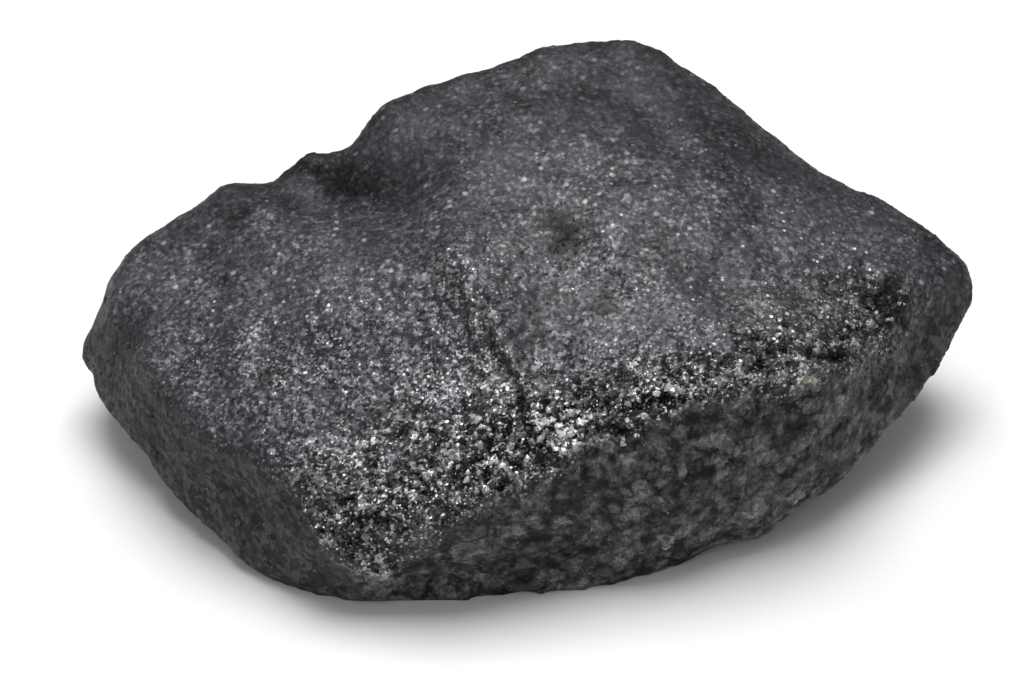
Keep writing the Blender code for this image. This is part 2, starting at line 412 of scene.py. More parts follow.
def chance(key, turn):
    """An even random number from 0 to 1 for each key. Another turn gives another number."""
    mixed = (key + np.uint64(turn) * np.uint64(0x9E3779B9)) & 0xFFFFFFFF
    mixed = (mixed ^ (mixed >> 15)) * 0x2C1B3C6D & 0xFFFFFFFF
    mixed = (mixed ^ (mixed >> 12)) * 0x297A2D39 & 0xFFFFFFFF
    return (mixed ^ (mixed >> 15)).astype(float) / 0xFFFFFFFF


def grains(points, size, seed):
    """For each point: the key and centre of its grain, and its share of the way to the seam."""
    places = points / size
    home = np.floor(places).astype(np.int64)
    nearest = np.full(len(points), FAR_AWAY)
    second = np.full(len(points), FAR_AWAY)
    key = np.zeros(len(points), np.uint64)
    centre = np.zeros_like(points)
    for step in np.ndindex(3, 3, 3):
        cell = home + np.array(step) - 1
        own = scramble(cell[:, 0], cell[:, 1], cell[:, 2], seed)
        spot = cell + np.stack([chance(own, turn) for turn in (1, 2, 3)], axis=1)
        gap = np.linalg.norm(places - spot, axis=1)
        closer = gap < nearest
        second = np.where(closer, nearest, np.minimum(second, gap))
        nearest = np.where(closer, gap, nearest)
        key = np.where(closer, own, key)
        centre[closer] = spot[closer] * size
    return key, centre, second - nearest


def rolling(points, size, seed):
    """Smooth noise from -1 to 1: random values on a lattice, eased between."""
    places = points / size
    home = np.floor(places).astype(np.int64)
    part = places - home
    ease = part * part * (3 - 2 * part)
    total = np.zeros(len(points))
    for corner in np.ndindex(2, 2, 2):
        cell = home + corner
        value = chance(scramble(cell[:, 0], cell[:, 1], cell[:, 2], seed), 5) * 2 - 1
        total += value * np.prod(np.where(corner, ease, 1 - ease), axis=1)
    return total


def between(value, low, high):
    """0 below low, 1 above high, and eased between. low may be above high."""
    share = np.clip((value - low) / (high - low), 0, 1)
    return share * share * (3 - 2 * share)


def near_stretch(points, start, end):
    """Each point's distance from a straight stretch, and its share of the way along it."""
    along = end - start
    share = np.clip((points - start) @ along / (along @ along), 0, 1)
    return np.linalg.norm(points - start - share[:, None] * along, axis=1), share


def near_route(points, rows):
    """A value that fades away from a route. Its rows are x, y, z and reach in mm, and strength."""
    value = np.zeros(len(points))
    for first, second in zip(rows[:-1], rows[1:]):
        start = np.array(first[:3]) * MM
        end = np.array(second[:3]) * MM
        away, share = near_stretch(points, start, end)
        reach = (first[3] + (second[3] - first[3]) * share) * MM
        strength = first[4] + (second[4] - first[4]) * share
        value = np.maximum(value, strength * np.exp(-((away / reach) ** 2)))
    return value


def near_spots(points, rows):
    """The strongest of some round spots. Each row is x, y, z and reach in mm, and strength."""
    value = np.zeros(len(points))
    for x, y, z, reach, strength in rows:
        away = np.linalg.norm(points - np.array((x, y, z)) * MM, axis=1)
        value = np.maximum(value, strength * np.exp(-((away / (reach * MM)) ** 2)))
    return value


def ragged_spots(points, rows, seed):
    """As near_spots, but with ragged edges."""
    value = near_spots(points, rows)
    ragged = rolling(points, 0.9 * MM, seed) * 0.4 + rolling(points, 0.4 * MM, seed + 1) * 0.4
    return between(value + ragged * (value > 0.05), 0.3, 0.75)


# ---------------------------------------------------------------- mesh helpers

def vectors_of(items, name):
    """One vector of each of a mesh's items, such as its vertices, as rows."""
    flat = np.empty(len(items) * 3, np.float32)
    items.foreach_get(name, flat)
    return flat.reshape(-1, 3).astype(float)


def whole_numbers_of(items, name):
    """One whole number of each of a mesh's items."""
    numbers = np.empty(len(items), np.int32)
    items.foreach_get(name, numbers)
    return numbers


def set_vertices(mesh, points):
    mesh.vertices.foreach_set("co", points.astype(np.float32).ravel())
    mesh.update()


def apply_modifiers(piece):
    graph = bpy.context.evaluated_depsgraph_get()
    mesh = bpy.data.meshes.new_from_object(piece.evaluated_get(graph))
    piece.modifiers.clear()
    old = piece.data
    piece.data = mesh
    bpy.data.meshes.remove(old)


def finish_piece(piece, material):
    piece.data.materials.clear()
    piece.data.materials.append(material)
    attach(piece, "root")


# ---------------------------------------------------------------- what the surface is like

def crown_share(points):
    """1 on the crown, falling to 0 below its edge along the front."""
    edge = np.array(CROWN_EDGE) * MM
    level = np.interp(points[:, 0], edge[:, 0], edge[:, 1])
    ragged = (rolling(points, 1.6 * MM, seed=41) * 0.5 * MM
              + rolling(points, 0.7 * MM, seed=42) * 0.3 * MM)
    blur = (0.7 + 1.7 * between(points[:, 0], -17 * MM, -23 * MM)) * MM
    return between(points[:, 2] - level + ragged, -blur, blur)


def dullness(points, facing):
    """From 0 on the sparkling crown to 1 on the dull, steep faces."""
    steep_back = between(facing[:, 2], 0.55, 0.25) * (points[:, 1] > 0)
    return np.maximum(1 - crown_share(points), steep_back)


def softness(points):
    """From 0 at the front of the crown, where grains are crisp, to 1 where they are worn."""
    worn = np.maximum(between(points[:, 1], -17 * MM, 5 * MM), near_spots(points, WORN_SPOTS))
    return np.clip(worn - near_spots(points, FRESH_SPOTS), 0, 1)


def band_share(points):
    """How much a place belongs to the band of coarse grains and painted glints, from 0 to 1.2."""
    return np.clip(near_route(points, BAND) + rolling(points, 2.2 * MM, seed=31) * 0.25, 0, 1.2)


def pits(points):
    """From 0 to 1, how far a place lies in a pit of the band."""
    low = rolling(points, PIT, seed=35) + rolling(points, PIT * 0.45, seed=36) * 0.5
    return between(low, 0.15, 0.7) * np.clip(band_share(points) * 1.3, 0, 1)


def liveliness(points):
    """How strongly the grains differ in brightness, from 0 to 1; the bright ones are painted glints."""
    small = np.maximum(near_route(points, SPARKLE), near_route(points, SPARKLE_RIGHT)) * 0.45
    patchy = rolling(points, 3.4 * MM, seed=33) * 0.18 + rolling(points, 1.5 * MM, seed=34) * 0.14
    lively = np.maximum(small, band_share(points)) + 0.08 + patchy
    return np.clip(lively * (1 - 0.5 * softness(points)), 0, 1)


def grooves(points):
    """The depth of the grooves at each point, and the darkness of the painted shade in them."""
    depth = np.zeros(len(points))
    dark = np.zeros(len(points))
    wander = rolling(points, 0.8 * MM, seed=61) * 0.35 * MM
    for route, half_width, sink, darkness in GROOVES.values():
        away = np.full(len(points), FAR_AWAY)
        for first, second in zip(route[:-1], route[1:]):
            distance, _ = near_stretch(points, np.array(first) * MM, np.array(second) * MM)
            away = np.minimum(away, distance)
        near = np.exp(-((np.maximum(away + wander, 0) / (half_width * MM)) ** 2))
        depth = np.maximum(depth, near * sink * MM)
        dark = np.maximum(dark, near * darkness)
    return depth, dark


def shade_and_darkness_of(points, solid):
    """How much darker a place is than usual, up to 1, and below 0 how much lighter. It holds painted
    shade in the hollow, at the back and right end, in grooves and in pits, painted light in the light
    spots, and random darker and lighter stone.
    """
    dark = np.maximum(near_route(points, SHADES), near_spots(points, SHADE_AND_DARK_SPOTS))
    dark += BACK_SHADE * between(points[:, 1], 3 * MM, 12 * MM) * (1 - dark)
    dark += END_SHADE * between(points[:, 0], 33 * MM, 37 * MM) * (1 - dark)
    dark += rolling(points, 3.2 * MM, seed=43) * 0.14 + rolling(points, 1.5 * MM, seed=44) * 0.14
    dark = np.maximum(dark, grooves(points)[1])
    dark = np.maximum(dark, pits(points) * np.where(solid > 0, 0.2, 0.75))
    return dark - near_spots(points, LIGHT_SPOTS)


def calm_share(points):
    """1 where a dull face has an even grain, 0 where it has the mosaic of patches."""
    ragged = rolling(points, 3.0 * MM, seed=46) * 2.0 * MM + rolling(points, 1.2 * MM, seed=47) * MM
    left = between(points[:, 0] + ragged, -13 * MM, -19 * MM)
    right = between(points[:, 0] + ragged, 31 * MM, 35 * MM)
    rear = between(points[:, 1] + ragged, -2 * MM, 8 * MM)
    return np.maximum(np.maximum(left, right), 0.85 * rear)


def haze_share(points):
    """How far the flecks fade into an even grey, at the back and where the grains are worn."""
    back = between(points[:, 1], 4 * MM, 13 * MM) * (1 - near_spots(points, STARRY))
    return np.maximum(back, 0.6 * near_spots(points, WORN_SPOTS))


def grain_at(points):
    """The grain of each point: its key, centre, seam distance and size."""
    key, centre, seam = grains(points, FINE_GRAIN, seed=11)
    size = np.full(len(points), FINE_GRAIN)
    coarse_key, coarse_centre, coarse_seam = grains(points, COARSE_GRAIN, seed=12)
    is_coarse = band_share(coarse_centre) * 0.8 > chance(coarse_key, 9)
    key = np.where(is_coarse, coarse_key, key)
    centre = np.where(is_coarse[:, None], coarse_centre, centre)
    seam = np.where(is_coarse, coarse_seam, seam)
    size = np.where(is_coarse, COARSE_GRAIN, size)
    return key, centre, seam, size


def describe_faces(mesh, points, facing, tone, seam, solid, showy=0.0):
    """Stores what the material reads about each facet of the skin or of a crystal.

    solid is 1 on a crystal. showy is 1 on a crystal whose bright tone is a painted glint, kept wherever
    it sits, and which gets no painted shade.
    """
    _, _, patch_seam = grains(points, PATCH, seed=14)
    ragged = rolling(points, 1.1 * MM, seed=45) * 0.12
    dark = shade_and_darkness_of(points, solid) * (1 - showy)
    values = {
        "patch_seam": between(patch_seam + ragged, 0.02, 0.16),
        "grain_tone": tone,
        "seam": seam,
        "solid": solid,
        "coarse": np.clip(band_share(points) * 1.5 - 0.1, 0, 1),
        "dull": dullness(points, facing) * (1 - showy),
        "lively": np.maximum(liveliness(points), showy),
        # light carries the painted shade and painted light to the material, as a factor on the colour.
        "light": 1 - 0.9 * np.clip(dark, -1, 1),
        "calm": calm_share(points),
        "haze": haze_share(points),
        "starry": near_spots(points, STARRY) * (1 - solid),
        "soft": softness(points) * (1 - 0.7 * showy),
        "bright": near_spots(points, NESTS),
        "rust": ragged_spots(points, RUST, seed=71) * (1 - 0.8 * showy),
        "cream": ragged_spots(points, CREAM, seed=81),
    }
    for name, numbers in values.items():
        layer = mesh.attributes.new(name, "FLOAT", "FACE")
        layer.data.foreach_set("value", numbers.astype(np.float32))


# ---------------------------------------------------------------- the skin

def even_copy(node):
    """A smooth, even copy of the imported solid."""
    piece = bpy.data.objects.new("magnetite_skin", node.data.copy())
    bpy.context.scene.collection.objects.link(piece)
    remesh = piece.modifiers.new("even", "REMESH")
    remesh.mode = "VOXEL"
    remesh.voxel_size = EVEN_GRID
    ease = piece.modifiers.new("ease", "SMOOTH")
    ease.iterations = EASING_PASSES
    finer = piece.modifiers.new("finer", "SUBSURF")
    finer.levels = 1
    finer.render_levels = 1
    apply_modifiers(piece)
    return piece


def flat_foot(mesh):
    """Replaces the dense foot with one flat face at the level that the block rests on."""
    shape = bmesh.new()
    shape.from_mesh(mesh)
    bmesh.ops.bisect_plane(
        shape,
        geom=shape.verts[:] + shape.edges[:] + shape.faces[:],
        dist=0.001 * MM,
        plane_co=(0, 0, FOOT_TRIM),
        plane_no=(0, 0, -1),
        clear_outer=True,
    )
    rim = [edge for edge in shape.edges if edge.is_boundary]
    for vert in {vert for edge in rim for vert in edge.verts}:
        vert.co.z = 0.0
    foot = bmesh.ops.holes_fill(shape, edges=rim, sides=0)["faces"]
    bmesh.ops.triangulate(shape, faces=foot)
    bmesh.ops.recalc_face_normals(shape, faces=shape.faces[:])
    shape.to_mesh(mesh)
    shape.free()


def shake_grid(mesh):
    """Moves each point a little along the surface, so that no rows of facets show."""
    points = vectors_of(mesh.vertices, "co")
    random = np.random.default_rng(7)
    shake = random.uniform(-FACET_JITTER, FACET_JITTER, points.shape)
    normals = vectors_of(mesh.vertex_normals, "vector")
    shake -= normals * np.sum(shake * normals, axis=1)[:, None]
    shake[points[:, 2] < 0.3 * MM] = 0
    set_vertices(mesh, points + shake)


def raise_grains(mesh, normals):
    """Moves each point to the plane of its grain or patch, and sinks seams, grooves and pits."""
    points = vectors_of(mesh.vertices, "co")
    key, centre, seam, size = grain_at(points)
    height = (chance(key, 4) - 0.5) * 2 * GRAIN_HEIGHT * size
    tilt = np.stack([chance(key, turn) - 0.5 for turn in (5, 6, 7)], axis=1) * 2 * GRAIN_TILT
    height += np.sum(tilt * (points - centre), axis=1)
    height -= np.clip(1 - seam / SEAM_WIDTH, 0, 1) * SEAM_DEPTH * size
    dull = dullness(points, normals)
    height *= (1 - 0.55 * dull) * (1 - 0.5 * softness(points))
    height *= 0.6 + 0.4 * np.clip(band_share(points), 0, 1)
    patch_key, _, patch_seam = grains(points, PATCH, seed=14)
    patch = (chance(patch_key, 4) - 0.5) * 2 * PATCH_HEIGHT
    patch -= np.clip(1 - patch_seam / PATCH_SEAM_WIDTH, 0, 1) * PATCH_HEIGHT
    height += patch * dull
    random = np.random.default_rng(8)
    height += random.normal(0, FACET_ROUGHNESS, len(points))
    height -= grooves(points)[0] + pits(points) * PIT_DEPTH
    height *= np.clip((points[:, 2] - 0.1 * MM) / (0.8 * MM), 0, 1)
    set_vertices(mesh, points + normals * height[:, None])


def describe_skin(mesh, normals):
    """Stores each facet's values, and leaves the crisp grains flat and most worn ones smooth."""
    points = vectors_of(mesh.polygons, "center")
    counts = whole_numbers_of(mesh.polygons, "loop_total")
    starts = whole_numbers_of(mesh.polygons, "loop_start")
    corners = whole_numbers_of(mesh.loops, "vertex_index")
    facing = np.add.reduceat(normals[corners], starts, axis=0) / counts[:, None]
    key, _, seam, _ = grain_at(points)
    # A third of a grain's tone follows its height, so low grains are darker: painted shade and dust in
    # the recesses.
    tone = chance(key, 4) * 0.3 + chance(key, 20) * 0.7
    seam = np.clip(seam / SEAM_WIDTH, 0, 1)
    describe_faces(mesh, points, facing, tone, seam, np.zeros(len(points)))
    worn = np.maximum(softness(points), 0.75 * dullness(points, facing))
    worn = np.maximum(worn, 0.75 - band_share(points))
    random = np.random.default_rng(9)
    mesh.polygons.foreach_set("use_smooth", worn > random.uniform(0.2, 0.85, len(points)))


def make_skin(material):
    """Makes the skin, and gives its facets' places and the way that the surface faces there."""
    piece = even_copy(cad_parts[NODE])
    flat_foot(piece.data)
    shake_grid(piece.data)
    normals = vectors_of(piece.data.vertex_normals, "vector")
    facing = vectors_of(piece.data.polygons, "normal")
    raise_grains(piece.data, normals)
    describe_skin(piece.data, normals)
    finish_piece(piece, material)
    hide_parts(NODE)
    return vectors_of(piece.data.polygons, "center"), facing


# ---------------------------------------------------------------- crystals

OCTAHEDRON = (
    np.array([(1, 0, 0), (-1, 0, 0), (0, 1, 0), (0, -1, 0), (0, 0, 1), (0, 0, -1)], float),
    np.array([(0, 2, 4), (2, 1, 4), (1, 3, 4), (3, 0, 4), (2, 0, 5), (1, 2, 5), (3, 1, 5), (0, 3, 5)]),
)
GOLDEN = (1 + math.sqrt(5)) / 2
TWENTY_FACES = (
    np.array([
        (-1, GOLDEN, 0), (1, GOLDEN, 0), (-1, -GOLDEN, 0), (1, -GOLDEN, 0),
        (0, -1, GOLDEN), (0, 1, GOLDEN), (0, -1, -GOLDEN), (0, 1, -GOLDEN),
        (GOLDEN, 0, -1), (GOLDEN, 0, 1), (-GOLDEN, 0, -1), (-GOLDEN, 0, 1),
    ]) / math.hypot(1, GOLDEN),
    np.array([
        (0, 11, 5), (0, 5, 1), (0, 1, 7), (0, 7, 10), (0, 10, 11),
        (1, 5, 9), (5, 11, 4), (11, 10, 2), (10, 7, 6), (7, 1, 8),
        (3, 9, 4), (3, 4, 2), (3, 2, 6), (3, 6, 8), (3, 8, 9),
        (4, 9, 5), (2, 4, 11), (6, 2, 10), (8, 6, 7), (9, 8, 1),
    ]),
)

# Where crystals sit and which way the skin faces there, their sizes and tones, and 1 for a showy one,
# whose bright tone is a painted glint.
Crystals = namedtuple("Crystals", "places facing sizes tones showy")


def one_per_cell(points, spacing, seed):
    """Picks the point nearest to a random spot in each cell of a lattice."""
    cell = np.floor(points / spacing).astype(np.int64)
    key = scramble(cell[:, 0], cell[:, 1], cell[:, 2], seed)
    spot = (cell + np.stack([chance(key, turn) for turn in (1, 2, 3)], axis=1)) * spacing
    order = np.lexsort((np.linalg.norm(points - spot, axis=1), key))
    _, first = np.unique(key[order], return_index=True)
    chosen = order[first]
    return chosen[points[chosen, 2] > CLEAR_OF_FOOT]


def clear_of_grooves(points, random):
    return grooves(points)[1] < random.uniform(0.3, 0.6, len(points))


def random_tones(quiet, bright_share, count, random):
    """Tones within a quiet range, and bright ones, painted glints, for a share of the crystals."""
    tones = random.uniform(*quiet, count)
    is_bright = random.uniform(0, 1, count) < bright_share
    return np.where(is_bright, random.uniform(0.6, 1.0, count), tones)


def turned(count, random):
    """Random rotations, as matrices."""
    quaternions = random.normal(size=(4, count))
    w, x, y, z = quaternions / np.linalg.norm(quaternions, axis=0)
    rows = (
        (1 - 2 * (y * y + z * z), 2 * (x * y - z * w), 2 * (x * z + y * w)),
        (2 * (x * y + z * w), 1 - 2 * (x * x + z * z), 2 * (y * z - x * w)),
        (2 * (x * z - y * w), 2 * (y * z + x * w), 1 - 2 * (x * x + y * y)),
    )
    return np.moveaxis(np.array(rows), 2, 0)


def make_crystals(name, crystals, body, depths, seed, material):
    """One piece of uneven copies of a body. Each is sunk by a share of its size within depths."""
    random = np.random.default_rng(seed)
    count = len(crystals.places)
    points, body_faces = body
    squash = random.uniform(0.6, 1.25, (count, 1, 3))
    shape = points[None] * squash * random.uniform(0.6, 1.3, (count, len(points), 1))
    shape = shape * crystals.sizes[:, None, None]
    corners = np.einsum("nij,nkj->nki", turned(count, random), shape)
    depth = crystals.sizes * random.uniform(*depths, count)
    sunk = crystals.places - crystals.facing * depth[:, None]
    corners = (corners + sunk[:, None]).reshape(-1, 3)
    faces = (body_faces[None] + len(points) * np.arange(count)[:, None, None]).reshape(-1, 3)
    mesh = bpy.data.meshes.new(name)
    mesh.from_pydata(corners.tolist(), [], faces.tolist())
    piece = bpy.data.objects.new(name, mesh)
    bpy.context.scene.collection.objects.link(piece)
    per_face = Crystals(*(np.repeat(values, len(body_faces), axis=0) for values in crystals))
    ones = np.ones(len(faces))
    describe_faces(mesh, per_face.places, per_face.facing, per_face.tones, ones, ones, per_face.showy)
    finish_piece(piece, material)


def make_crown_crystals(points, facing, material):
    """Small crystals all over the crown, fewer where the grains are worn."""
    chosen = one_per_cell(points, CROWN_SPACING, seed=91)
    random = np.random.default_rng(92)
    keep = dullness(points[chosen], facing[chosen]) < random.uniform(0.1, 0.8, len(chosen))
    keep &= random.uniform(0, 1, len(chosen)) > softness(points[chosen])
    keep &= clear_of_grooves(points[chosen], random)
    chosen = chosen[keep]
    sizes = random.uniform(*CROWN_SIZES, len(chosen))
    tones = random_tones((0.25, 0.55), 0.4, len(chosen), random)
    crystals = Crystals(points[chosen], facing[chosen], sizes, tones, np.zeros(len(chosen)))
    make_crystals("crown_crystals", crystals, OCTAHEDRON, CROWN_DEPTHS, 93, material)


def make_band_crystals(points, facing, material):
    """Larger crystals in the band, and a cluster of three for each of the fragments; the bright ones
    are painted glints.
    """
    chosen = one_per_cell(points, BAND_SPACING, seed=94)
    random = np.random.default_rng(95)
    wanted = band_share(points[chosen]) * 0.9 + near_spots(points[chosen], NESTS) * 0.4
    chosen = chosen[wanted > random.uniform(0.3, 1.0, len(chosen))]
    smallest, largest = BAND_SIZES
    sizes = smallest + (largest - smallest) * random.uniform(0, 1, len(chosen)) ** 2
    tones = random_tones((0.2, 0.5), 0.55, len(chosen), random)
    rows = np.repeat(np.array(FRAGMENTS), 3, axis=0)
    wander = random.uniform(-0.55, 0.55, (len(rows), 3)) * rows[:, 3:4]
    places = (rows[:, :3] + wander) * MM
    nearest = [np.argmin(np.linalg.norm(points - place, axis=1)) for place in places]
    clear = clear_of_grooves(points[chosen], random)
    chosen = np.concatenate([chosen[clear], nearest])
    sizes = np.concatenate([sizes[clear], rows[:, 3] * random.uniform(0.45, 0.95, len(rows)) * MM])
    tones = np.concatenate([tones[clear], rows[:, 4] - random.uniform(0.0, 0.12, len(rows))])
    showy = np.zeros(len(chosen))
    showy[-len(rows):] = 1.0
    crystals = Crystals(points[chosen], facing[chosen], sizes, tones, showy)
    make_crystals("band_crystals", crystals, TWENTY_FACES, BAND_DEPTHS, 96, material)


# ---------------------------------------------------------------- materials

class Nodes:
    """A material's node tree, with short calls to add and join nodes."""

    def __init__(self, name):
        self.material = bpy.data.materials.new(name)
        self.material.use_nodes = True
        self.tree = self.material.node_tree
        self.shader = self.tree.nodes["Principled BSDF"]

    def add(self, kind, inputs=None, **settings):
        node = self.tree.nodes.new(kind)
        for name, value in settings.items():
            setattr(node, name, value)
        for name, value in (inputs or {}).items():
            self.put(node, name, value)
        return node

    def put(self, node, name, value):
        """Links an output to an input, or sets the input's own value."""
        if isinstance(value, bpy.types.NodeSocket):
            self.tree.links.new(value, node.inputs[name])
        else:
            node.inputs[name].default_value = value

    def attribute(self, name):
        return self.add("ShaderNodeAttribute", attribute_name=name).outputs["Fac"]

    def math(self, operation, *values):
        node = self.add("ShaderNodeMath", dict(enumerate(values)), operation=operation)
        return node.outputs[0]

    def plus(self, first, second):
        return self.math("ADD", first, second)

    def times(self, first, second):
        return self.math("MULTIPLY", first, second)

    def around_zero(self, value, strength):
        """Turns a value around 0.5 into one around 0, of some strength."""
        return self.times(self.math("SUBTRACT", value, 0.5), strength)

    def vector(self, operation, first, second=(0.0, 0.0, 0.0)):
        node = self.add("ShaderNodeVectorMath", {0: first, 1: second}, operation=operation)
        return node.outputs[0]

    def scaled(self, vector, factor):
        inputs = {0: vector, "Scale": factor}
        return self.add("ShaderNodeVectorMath", inputs, operation="SCALE").outputs[0]

    def ramp(self, value, *stops):
        """A colour ramp. Each stop is a place and a grey or a colour."""
        node = self.add("ShaderNodeValToRGB", {"Fac": value})
        ramp = node.color_ramp
        while len(ramp.elements) < len(stops):
            ramp.elements.new(1.0)
        for element, (place, colour) in zip(ramp.elements, stops):
            if isinstance(colour, (int, float)):
                colour = (colour, colour, colour)
            element.position = place
            element.color = (*colour, 1.0)
        return node.outputs["Color"]

    def grey_ramp(self, value, *stops):
        """As ramp, but gives a number."""
        return self.channels(self.ramp(value, *stops))[0]

    def mix(self, share, first, second, blend="MIX"):
        """Mixes two colours, which are outputs or red, green and blue."""
        node = self.add("ShaderNodeMix", data_type="RGBA", blend_type=blend)
        self.put(node, 0, share)
        for index, colour in ((6, first), (7, second)):
            if isinstance(colour, tuple):
                colour = (*colour, 1.0)
            self.put(node, index, colour)
        return node.outputs[2]

    def shaded(self, colour, factor):
        """A colour times a factor, which is a colour too."""
        return self.mix(1.0, colour, factor, "MULTIPLY")

    def blend(self, share, first, second):
        """Mixes two numbers."""
        inputs = {0: share, 2: first, 3: second}
        return self.add("ShaderNodeMix", inputs, data_type="FLOAT").outputs[0]

    def voronoi(self, place, size, feature="F1"):
        inputs = {"Vector": place, "Scale": 1 / size}
        return self.add("ShaderNodeTexVoronoi", inputs, feature=feature).outputs

    def cells(self, place, size):
        """Random colour per cell of about this size."""
        return self.voronoi(place, size)["Color"]

    def dots(self, voronoi, radius):
        """A round dot in each cell, from 0 to 1, with its own strength. radius is in cell sizes."""
        shape = self.ramp(voronoi["Distance"], (0.0, 1.0), (radius * 0.5, 0.85), (radius, 0.0))
        own = self.channels(voronoi["Color"])[0]
        return self.times(shape, self.ramp(own, (0.25, 0.0), (0.5, 0.35), (1.0, 1.0)))

    def noise_outputs(self, place, size, detail=2.0):
        inputs = {"Vector": place, "Scale": 1 / size, "Detail": detail}
        return self.add("ShaderNodeTexNoise", inputs).outputs

    def noise(self, place, size, detail=2.0):
        return self.noise_outputs(place, size, detail)["Fac"]

    def bend(self, place, noise_colour, reach):
        """Moves each place by noise, so that no cell has straight sides."""
        offset = self.vector("SUBTRACT", noise_colour, (0.5, 0.5, 0.5))
        return self.vector("ADD", place, self.scaled(offset, reach))

    def channels(self, colour):
        return self.add("ShaderNodeSeparateColor", {"Color": colour}).outputs


class Magnetite(Nodes):
    """The stone's material. It reads the values that describe_faces stores."""

    def __init__(self):
        super().__init__("magnetite")
        self.place = self.add("ShaderNodeTexCoord").outputs["Object"]
        fine_noise = self.noise_outputs(self.place, 0.5 * MM)
        self.bent = self.bend(self.place, fine_noise["Color"], 0.2 * MM)
        self.small_clouds = self.noise_outputs(self.place, 0.9 * MM)
        self.broad_clouds = self.noise(self.place, 1.6 * MM, 3.0)
        self.sparse_cells = self.voronoi(self.place, 0.95 * MM)
        self.crowded_cells = self.voronoi(self.bent, 0.75 * MM)
        self.fine_cells = self.cells(self.bent, FINE_FACE)
        self.fine = self.channels(self.fine_cells)
        self.large = self.channels(self.cells(self.bent, LARGE_FACE))
        self.dull = self.attribute("dull")
        self.soft = self.attribute("soft")
        self.solid = self.attribute("solid")
        self.coarse = self.attribute("coarse")
        self.lively = self.attribute("lively")
        self.grain_tone = self.attribute("grain_tone")
        self.light = self.attribute("light")
        self.tilt_faces()
        colour = self.mix(self.dull, self.flecked(self.crown()), self.stone())
        # The light attribute scales the colour: painted shade and painted light, mixed with darker and
        # lighter stone.
        colour = self.scaled(self.stained(colour), self.light)
        self.put(self.shader, "Base Color", colour)
        self.set_gloss()

    def tilt_faces(self):
        """Crystal faces finer than the mesh: each cell leans its own way."""
        lean = self.vector("SUBTRACT", self.fine_cells, (0.5, 0.5, 0.5))
        size = self.blend(self.coarse, self.blend(self.soft, 0.28, 0.2), 0.5)
        lean = self.scaled(lean, self.blend(self.solid, size, 0.1))
        normal = self.add("ShaderNodeNewGeometry").outputs["Normal"]
        self.put(self.shader, "Normal", self.vector("NORMALIZE", self.vector("ADD", normal, lean)))

    def rank(self):
        """A grain's place from dark to bright: coarse grains in the band, finer ones elsewhere."""
        cloud = self.math("SUBTRACT", self.broad_clouds, 0.5)
        coarse = self.blend(0.45, self.fine[0], self.large[1])
        coarse = self.plus(self.blend(0.35, coarse, self.grain_tone), self.times(cloud, 0.6))
        fine = self.blend(0.4, self.fine[0], self.noise(self.place, 0.22 * MM, 1.0))
        worn = self.math("MULTIPLY_ADD", self.noise(self.place, 0.46 * MM), 4.2, -1.6)
        worn = self.blend(0.3, worn, self.large[1])
        fine = self.blend(self.times(self.soft, 0.6), fine, worn)
        fine = self.plus(self.blend(0.2, fine, self.grain_tone), self.times(cloud, 0.28))
        rank = self.blend(self.coarse, fine, coarse)
        rank = self.blend(self.times(self.solid, 0.7), rank, self.grain_tone)
        # The nests are made brighter, as painted glints.
        return self.plus(rank, self.times(self.attribute("bright"), 0.22))

    def crown(self):
        """The crown: quiet greys, or a strong play of dark grains and bright ones, painted glints,
        where it is lively.
        """
        rank = self.rank()
        quiet = self.ramp(rank, (0.2, 0.040), (0.4, 0.059), (0.55, 0.080), (0.7, 0.108), (0.9, 0.17))
        tint = self.ramp(
            self.large[2], (0.0, (1.08, 1.0, 1.08)), (0.3, (1.04, 1.0, 1.18)), (1.0, (1.01, 1.0, 1.25)))
        vivid = self.ramp(rank, (0.30, 0.008), (0.44, 0.032), (0.56, 0.12), (0.67, 0.34), (0.82, 0.85))
        crown = self.mix(self.lively, self.shaded(quiet, tint), vivid)
        # Painted shade in the seams between fine grains; the coarse band is darkened evenly.
        seam = self.ramp(self.attribute("seam"), (0.0, 0.45), (1.0, 1.0))
        not_coarse = self.math("SUBTRACT", 1.0, self.coarse)
        crown = self.shaded(crown, self.mix(not_coarse, seam, (0.87, 0.87, 0.87)))
        # Painted shade: the colour is scaled down by a factor that follows softness, to even out the
        # overhead lamp's sheen on the crown.
        crown = self.shaded(crown, self.ramp(self.soft, (0.0, 0.80), (0.5, 0.68), (1.0, 0.72)))
        clouds = self.ramp(self.small_clouds["Fac"], (0.3, 0.52), (0.7, 1.4))
        crown = self.shaded(crown, self.mix(self.soft, (1.0, 1.0, 1.0), clouds))
        return self.mix(self.times(self.attribute("haze"), 0.2), crown, (0.062, 0.062, 0.067))

    def flecked(self, crown):
        """Painted glints: pale dots, small and crisp at the front, and scattered bright ones."""
        far = self.times(self.dots(self.voronoi(self.place, 0.56 * MM), 0.3), 0.45)
        far = self.math("MAXIMUM", far, self.dots(self.voronoi(self.place, 1.3 * MM), 0.25))
        near = self.dots(self.voronoi(self.place, 0.42 * MM), 0.32)
        near = self.math("MAXIMUM", near, self.dots(self.sparse_cells, 0.19))
        near = self.times(near, self.grey_ramp(self.lively, (0.0, 0.5), (0.3, 1.2)))
        dots = self.times(self.blend(self.soft, near, far), self.math("SUBTRACT", 1.0, self.solid))
        pale = self.mix(self.soft, (0.8, 0.8, 0.82), (0.42, 0.42, 0.44))
        strength = self.math("SUBTRACT", 0.85, self.times(self.attribute("haze"), 0.4))
        crown = self.mix(self.times(dots, strength), crown, pale)
        starry = self.attribute("starry")
        stars = self.math("MINIMUM", self.times(self.dots(self.sparse_cells, 0.21), starry), 0.8)
        crowded = self.math("MAXIMUM", self.times(self.math("SUBTRACT", starry, 0.9), 1.5), 0.0)
        crowded = self.times(self.dots(self.crowded_cells, 0.32), crowded)
        stars = self.math("MAXIMUM", stars, crowded)
        return self.mix(self.times(stars, 1.2), crown, (0.8, 0.8, 0.82))

